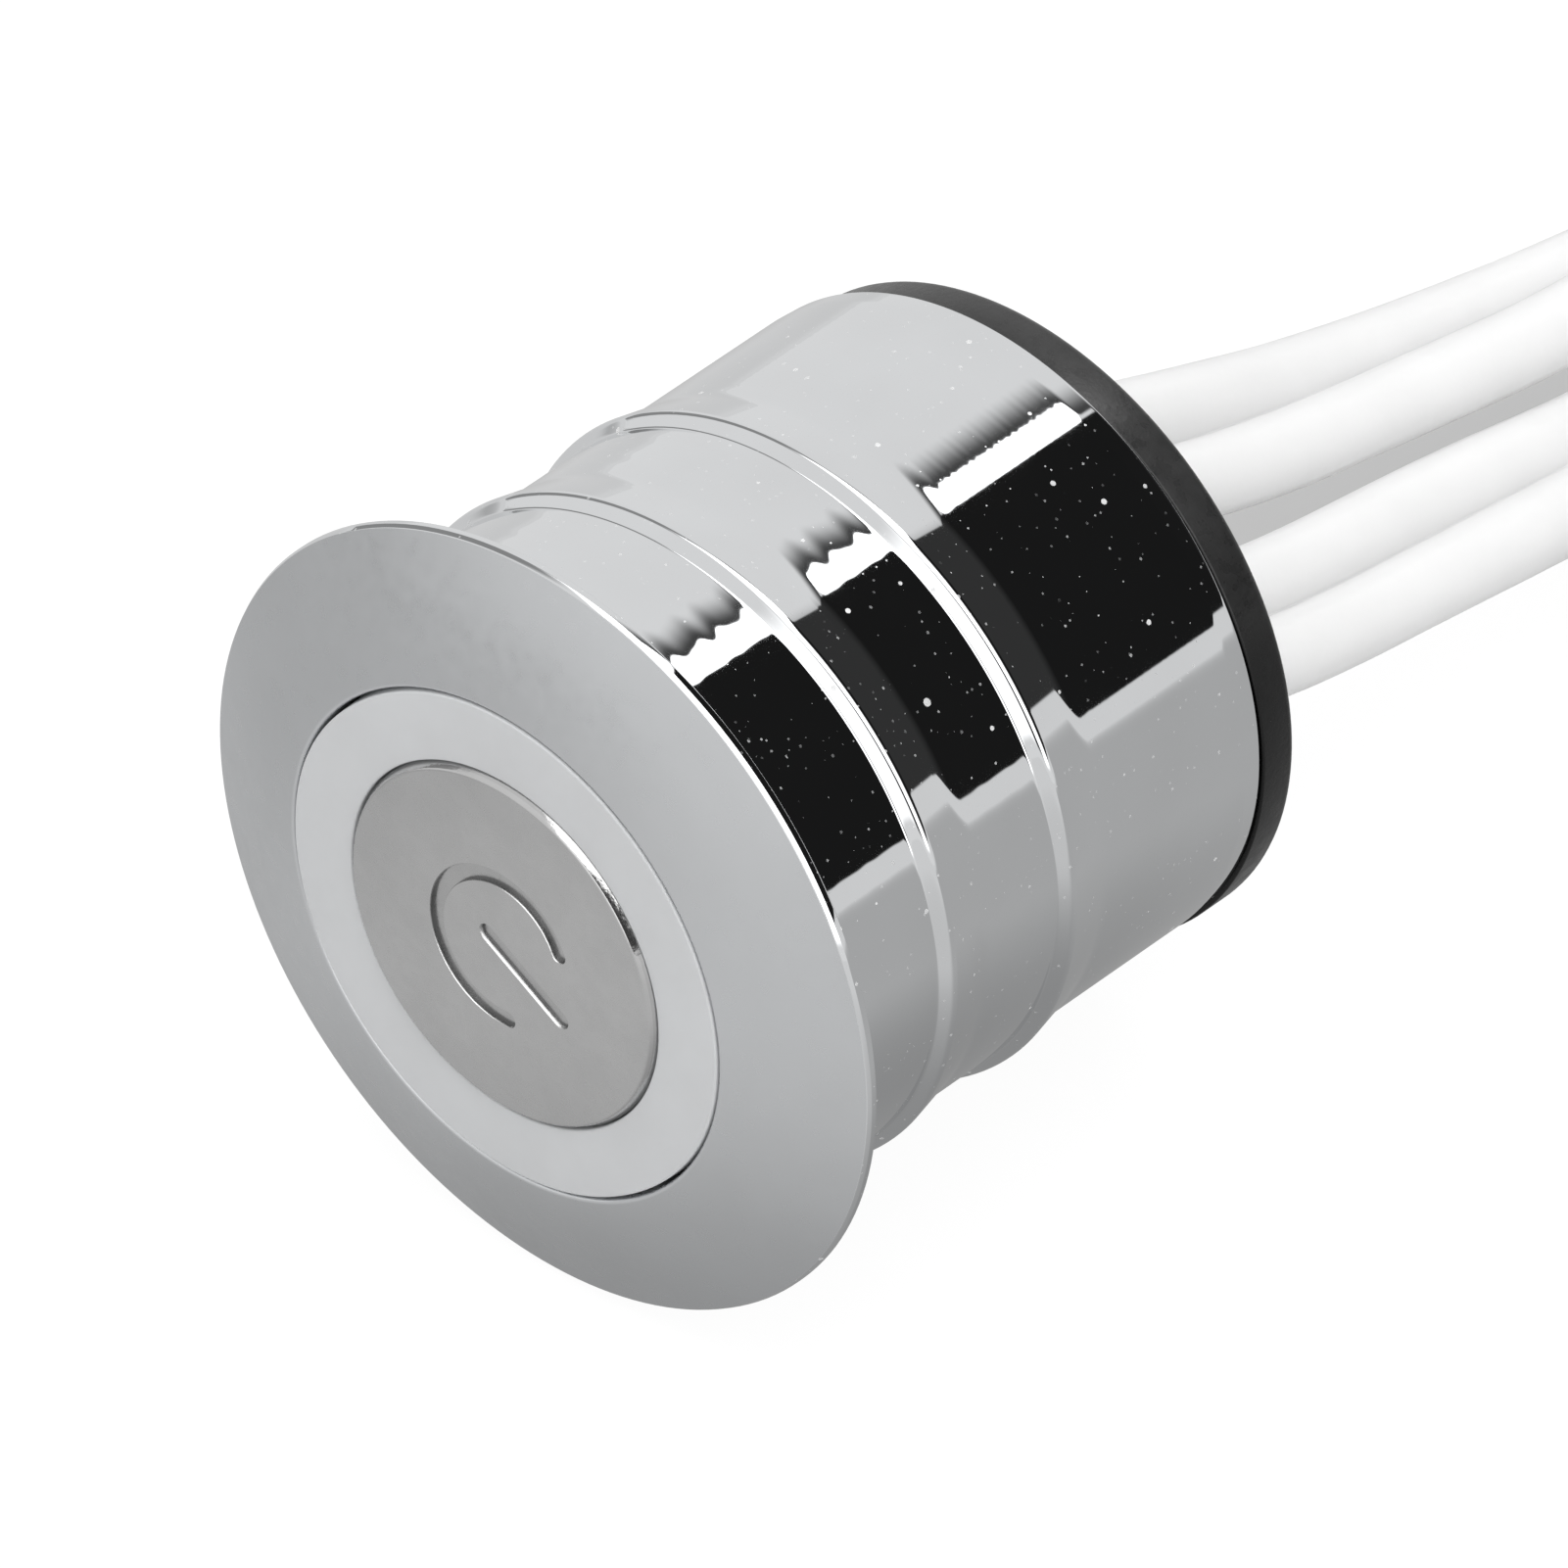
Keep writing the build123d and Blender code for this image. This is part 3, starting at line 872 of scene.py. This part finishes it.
def laminate():
    """Green solder mask over tracks, which show as paler stripes."""
    made = Finish("solder_mask")
    made.settle(IOR=1.5)
    mask = made.tones(900, 4, (0.012, 0.085, 0.035), (0.02, 0.12, 0.05))
    tracks = made.tones(900, 4, (0.03, 0.17, 0.06), (0.05, 0.22, 0.09))
    stripes = made.both(made.rise(made.bands(180, "X"), 0.62, 0.7), made.rise(made.noise(240, 1), 0.48, 0.52))
    made.feed("Base Color", made.mix(stripes, mask, tracks))
    made.feed("Roughness", made.grain(4000, 2, 0.28, 0.42))
    made.bump(stripes, 0.3, 0.00003)
    return made.material


def led_body():
    """Pale base with a yellowish lens in front of it."""
    made = Finish("led_body")
    made.settle(IOR=1.5)
    lens = made.tones(1500, 3, (0.78, 0.6, 0.12), (0.86, 0.7, 0.2))
    base = made.tones(1500, 3, (0.8, 0.78, 0.7), (0.86, 0.84, 0.78))
    behind = made.maths("GREATER_THAN", made.split(made.place)["Y"], LED_BASE * MM)
    made.feed("Base Color", made.mix(behind, lens, base))
    made.feed("Roughness", made.grain(4000, 2, 0.2, 0.35))
    return made.material


def close_to(made, value, centre, half):
    apart = made.maths("ABSOLUTE", made.maths("SUBTRACT", value, centre * MM))
    return made.maths("LESS_THAN", apart, half * MM)


def packaged(name, colours, half_length, half_width, *places):
    """Chip packages: a moulded or ceramic body round each place, and tinned metal outside it."""
    made = Finish(name)
    x, _, z = made.split(made.place)
    body = None
    for across, up in places:
        near = made.both(close_to(made, x, across, half_length), close_to(made, z, up, half_width))
        body = near if body is None else made.maths("MAXIMUM", body, near)
    leads = made.tones(3000, 3, grey(0.58), grey(0.72))
    made.feed("Base Color", made.mix(body, leads, made.tones(2500, 4, *colours)))
    made.feed("Metallic", made.maths("SUBTRACT", 1.0, body))
    made.feed("Roughness", made.blend(body, 0.3, made.grain(4000, 2, 0.4, 0.6)))
    return made.material


def paint(piece, *materials):
    piece.data.materials.clear()
    for material in materials:
        piece.data.materials.append(material)


# Materials of the pieces

PEARL_EDGE = -0.295
WALL_TILT = 0.3
SIGN_REACH = 3.0
SIGN_BOTTOM = -1.4
black = (grey(0.012), grey(0.022))
ceramic = ((0.3, 0.19, 0.1), (0.38, 0.25, 0.14))
resistor_places = ((-3.4, -1.2), (3.4, -1.2), (0, 3.4))
capacitor_places = ((-3.4, 1.4), (3.4, 1.4), (4.7, -1.6), (4.5, -3.4), (-4.4, -3.0))

pearl = metal("pearl_plating", (260, 4, grey(0.73, 0.012), grey(0.77, 0.014)), (2600, 2, 0.26, 0.36))
engraved = metal("engraved_walls", (2000, 3, grey(0.2), grey(0.28)), (4000, 2, 0.35, 0.5))
tinned = metal("tinned", (3000, 3, grey(0.58), grey(0.72)), (5000, 2, 0.22, 0.4))
drawn_wire = metal("drawn_wire", (2500, 3, grey(0.5), grey(0.62)), (6000, 2, 0.2, 0.35))
gilt = metal("gilt_pins", (2500, 3, (0.72, 0.53, 0.24), (0.86, 0.69, 0.38)), (5000, 2, 0.18, 0.32))
white = sheath()
green = laminate()

# The flange's face is satin and the rest of the housing bright
paint(housing, chrome(), pearl)
for face in housing.data.polygons:
    if face.center.y < PEARL_EDGE * MM:
        face.material_index = 1

# The sign's upright walls are darker than the plate
paint(plate, satin(), engraved)
for face in plate.data.polygons:
    upright = abs(face.normal.y) < WALL_TILT
    if upright and face.center.xz.length < SIGN_REACH * MM and face.center.y < SIGN_BOTTOM * MM:
        face.material_index = 1

paint(ring, milky())
paint(cap, moulded_black())
paint(supply, white)
paint(lamp, white)
paint(supply_ends, tinned)
paint(lamp_ends, tinned)
paint(tie, ribbed_sleeve())

# The plating doesn't mirror the leads, as in the photo
for piece in (supply, lamp, supply_ends, lamp_ends, tie):
    piece.visible_glossy = False

inner_finishes = {
    "touch_spring": drawn_wire,
    "sensor_board": green,
    "power_board": green,
    "indicator_leds": led_body(),
    "header_pins": gilt,
    "pin_holder": moulded_black(),
    "solder_joints": tinned,
    "touch_chip": packaged("touch_chip", black, 1.45, 0.8, (0, 0)),
    "power_transistor": packaged("transistor", black, 2.45, 1.95, (-2.6, 1.6)),
    "voltage_regulator": packaged("regulator", black, 2.25, 1.25, (3.3, 2.0)),
    "protection_diode": packaged("diode", black, 2.15, 1.3, (0.2, -2.9)),
    "chip_resistors": packaged("resistors", black, 0.45, 0.5, *resistor_places),
    "chip_capacitors": packaged("capacitors", ceramic, 0.65, 0.7, *capacitor_places),
}
for node, material in inner_finishes.items():
    paint(nodes[node], material)


# Studio floor, pale and seen as white by the camera

FLOOR_Z = -0.0101
FLOOR_HALF = 3.0
FLOOR_LEVEL = 1.1
GLOW_SHARE = 0.85
HORIZON_LEVEL = 0.74

# Tones of the floor's glow in reflections, with painted shade: two places or distances, and the tone at each
UNDER_BARREL = (0.005, 0.006, FLOOR_Z)
TONES_IN_FRONT = (-0.03, -0.004, 0.46, 0.64)
TONES_BEHIND = (-0.04, -0.005, 0.68, 0.455)
PAINTED_SHADE_UNDER_BARREL = (0.004, 0.022, 0.66, 1.0)
FRONT_TO_BACK = (-0.008, 0.006)
AHEAD_DISTANCE = (0.02, 0.12)
AHEAD_X = (-0.08, 0.0)
FAR_DISTANCE = (0.12, 0.6)

# Shade between the leads: its line on the floor, and where it fades
SHADE_ON_FLOOR = 0.5
SHADE_X = -0.006434
SHADE_Y = 0.030834
SHADE_LINE = (0.1963, 0.9805)
SHADE_SIDES = (0.0006, 0.0017)
SHADE_START = (-0.004, -0.001)
SHADE_END = (0.012, 0.02)


def floor_glow_with_painted_shade(made):
    """Glow of the floor in reflections, with painted shade: paler in front and far off, darker close under
    the barrel.
    """
    x, y, _ = made.split(made.place)
    apart = made.add("ShaderNodeVectorMath", operation="DISTANCE")
    made.join(made.place, apart.inputs[0])
    apart.inputs[1].default_value = UNDER_BARREL
    distance = apart.outputs["Value"]
    front = made.levels(x, *TONES_IN_FRONT, smooth=True)
    ahead = made.both(made.rise(distance, *AHEAD_DISTANCE), made.rise(x, *AHEAD_X))
    front = made.blend(ahead, front, HORIZON_LEVEL)
    behind = made.levels(x, *TONES_BEHIND, smooth=True)
    tone = made.blend(made.rise(y, *FRONT_TO_BACK), front, behind)
    # Painted shade: the floor's glow is darker close under the barrel
    tone = made.both(tone, made.levels(distance, *PAINTED_SHADE_UNDER_BARREL, smooth=True))
    return made.blend(made.rise(distance, *FAR_DISTANCE), tone, HORIZON_LEVEL)


def lead_shade(made):
    """Shade that the leads leave on the floor, seen between the two of them."""
    x, y, _ = made.split(made.place)
    x = made.maths("SUBTRACT", x, SHADE_X)
    y = made.maths("SUBTRACT", y, SHADE_Y)
    ahead_x, ahead_y = SHADE_LINE
    along = made.maths("ADD", made.maths("MULTIPLY", x, ahead_x), made.maths("MULTIPLY", y, ahead_y))
    across = made.maths("ADD", made.maths("MULTIPLY", x, -ahead_y), made.maths("MULTIPLY", y, ahead_x))
    side = made.fall(made.maths("ABSOLUTE", across), *SHADE_SIDES)
    return made.both(side, made.within(along, SHADE_START, SHADE_END))


def add_floor():
    half = FLOOR_HALF
    mesh = bpy.data.meshes.new("floor")
    corners = [(-half, -half, FLOOR_Z), (half, -half, FLOOR_Z), (half, half, FLOOR_Z), (-half, half, FLOOR_Z)]
    mesh.from_pydata(corners, [], [(0, 1, 2, 3)])
    floor = bpy.data.objects.new("floor", mesh)
    scene.collection.objects.link(floor)
    made = Finish("pale_floor")
    made.settle(Roughness=0.9, Specular_IOR_Level=0.0)
    made.feed("Base Color", made.tones(3, 2, grey(0.68), grey(0.72)))
    ray = made.add("ShaderNodeLightPath").outputs
    glow = made.add("ShaderNodeEmission")
    seen = made.blend(lead_shade(made), FLOOR_LEVEL, SHADE_ON_FLOOR)
    # In reflections the floor glows with painted shade instead of being lit, and the camera sees it white
    made.join(made.blend(ray["Is Camera Ray"], floor_glow_with_painted_shade(made), seen), glow.inputs["Strength"])
    mix = made.add("ShaderNodeMixShader")
    made.join(made.blend(ray["Is Camera Ray"], ray["Is Glossy Ray"], GLOW_SHARE), mix.inputs["Fac"])
    made.join(made.shader.outputs["BSDF"], mix.inputs[1])
    made.join(glow.outputs["Emission"], mix.inputs[2])
    made.join(mix.outputs["Shader"], made.output.inputs["Surface"])
    paint(floor, made.material)


# Overhead light, large and soft

LIGHT_PLACE = (0.2, -0.2, 1.6)
LIGHT_SIZE = 1.6
LIGHT_ENERGY = 4.3


def add_light():
    data = bpy.data.lights.new("overhead", "AREA")
    data.shape = "DISK"
    data.size = LIGHT_SIZE
    data.energy = LIGHT_ENERGY
    light = bpy.data.objects.new("overhead", data)
    light.location = LIGHT_PLACE
    light.rotation_euler = (-light.location).to_track_quat("-Z", "Y").to_euler()
    light.visible_glossy = False
    scene.collection.objects.link(light)


# Room round the studio: pale, with a strip light, two windows, a dark wall between them and a dark side

ROOM_LEVEL = 0.81
DIM_LEVEL = 0.28
DEEP_SHADE_LEVEL = 0.06
DARK_LEVEL = 0.011
DARK_BACK_LEVEL = 0.036
STRIP_LEVEL = 3.5
WINDOW_LEVEL = 2.3
FRONT_LEVEL = 1.4
WALL_LEVEL = 0.05

# The light goes by direction: y runs from front to back, z up, and turn is the angle in degrees above the
# right-hand side. Reflections in the barrel's straight sides all lie at the same y.
BARREL_Y = 0.577

# Slanting edges, each with a slope and an offset
STRIP_TOP = (-45.0, 94.0)
STRIP_TOP_IN_FRONT = (83.0, 122.0)
STRIP_FOOT = (25.0, 84.0)
STRIP_CLOSING = (42.0, -26.0)
WINDOW_SLANT = (0.0035, 0.273)

# Spans over which a field of light starts or ends
FOOT_EDGE = (-0.4, 0.4)
TOP_EDGE = (-0.6, 0.6)
STRIP_START = (0.16, 0.3)
WINDOW_TURN = (3.0, 7.0)
WINDOW_TOP = (-2.0, 2.0)
WINDOW_START = (-0.02, 0.02)
WINDOW_END = (0.16, 0.22)
FRONT_TURN = ((5.0, 9.0), (82.0, 98.0))
FRONT_Y = ((-0.9, -0.86), (-0.63, -0.6))
WALL_TURN = ((5.0, 9.0), (60.0, 90.0))
WALL_START = (-0.62, -0.6)
BACK_START = (0.24, 0.34)
HORIZON_Z = (0.08, 0.092)
HORIZON_END = (60.0, 84.0)
DEEP_SHADE_START = (0.3, 0.4)
DEEP_SHADE_END = (1.0, 14.0)
DIM_Y = ((-0.17, -0.08), (0.28, 0.38))
DIM_START = (1.0, 8.0)
DARK_BACK = (0.7, 0.85)


def add_room():
    world = bpy.data.worlds.new("room")
    scene.world = world
    world.use_nodes = True
    world.node_tree.nodes.clear()
    room = Graph(world.node_tree)
    x, y, z = room.split(room.add("ShaderNodeTexCoord").outputs["Generated"])
    turn = room.maths("DEGREES", room.maths("ARCTAN2", z, x))
    back = room.maths("SUBTRACT", y, BARREL_Y)

    # A strip light that widens from the back towards the front, where a window goes on from it
    top = room.maths("MINIMUM", room.line(back, *STRIP_TOP), room.line(y, *STRIP_TOP_IN_FRONT))
    closing = room.maths("MAXIMUM", room.line(y, *STRIP_CLOSING), 0.0)
    above = room.maths("SUBTRACT", turn, top)
    below = room.maths("SUBTRACT", turn, room.line(back, *STRIP_FOOT))
    strip = room.both(
        room.rise(room.maths("SUBTRACT", below, closing), *FOOT_EDGE),
        room.fall(room.maths("ADD", above, closing), *TOP_EDGE), room.rise(y, *STRIP_START),
    )
    forward = room.maths("ADD", y, room.line(turn, *WINDOW_SLANT))
    window = room.both(
        room.rise(turn, *WINDOW_TURN), room.fall(above, *WINDOW_TOP), room.rise(forward, *WINDOW_START),
        room.fall(y, *WINDOW_END),
    )

    # A second window farther to the front, and the dark wall between the two
    front = room.both(room.within(turn, *FRONT_TURN), room.within(y, *FRONT_Y))
    wall = room.both(
        room.within(turn, *WALL_TURN), room.rise(y, *WALL_START), room.fall(forward, *WINDOW_START),
    )

    # The dark side behind on the right, the shade above the strip and a dim gap over the left
    at_back = room.rise(y, *BACK_START)
    dark = room.both(at_back, room.rise(z, *HORIZON_Z), room.fall(below, *FOOT_EDGE))
    horizon = room.both(at_back, room.fall(z, *HORIZON_Z), room.fall(turn, *HORIZON_END))
    shade = room.both(room.rise(y, *DEEP_SHADE_START), room.within(above, TOP_EDGE, DEEP_SHADE_END))
    dim = room.both(room.within(y, *DIM_Y), room.rise(above, *DIM_START))

    # Later fields cover earlier ones
    fields = [
        (horizon, HORIZON_LEVEL), (dim, DIM_LEVEL), (shade, DEEP_SHADE_LEVEL),
        (dark, room.levels(y, *DARK_BACK, DARK_LEVEL, DARK_BACK_LEVEL)), (strip, STRIP_LEVEL),
        (wall, WALL_LEVEL), (window, WINDOW_LEVEL), (front, FRONT_LEVEL),
        (room.add("ShaderNodeLightPath").outputs["Is Camera Ray"], 1.0),
    ]
    level = ROOM_LEVEL
    for field, strength in fields:
        level = room.blend(field, level, strength)
    background = room.add("ShaderNodeBackground")
    background.inputs["Color"].default_value = (1, 1, 1, 1)
    room.join(level, background.inputs["Strength"])
    output = room.add("ShaderNodeOutputWorld")
    room.join(background.outputs["Background"], output.inputs["Surface"])


add_floor()
add_light()
add_room()
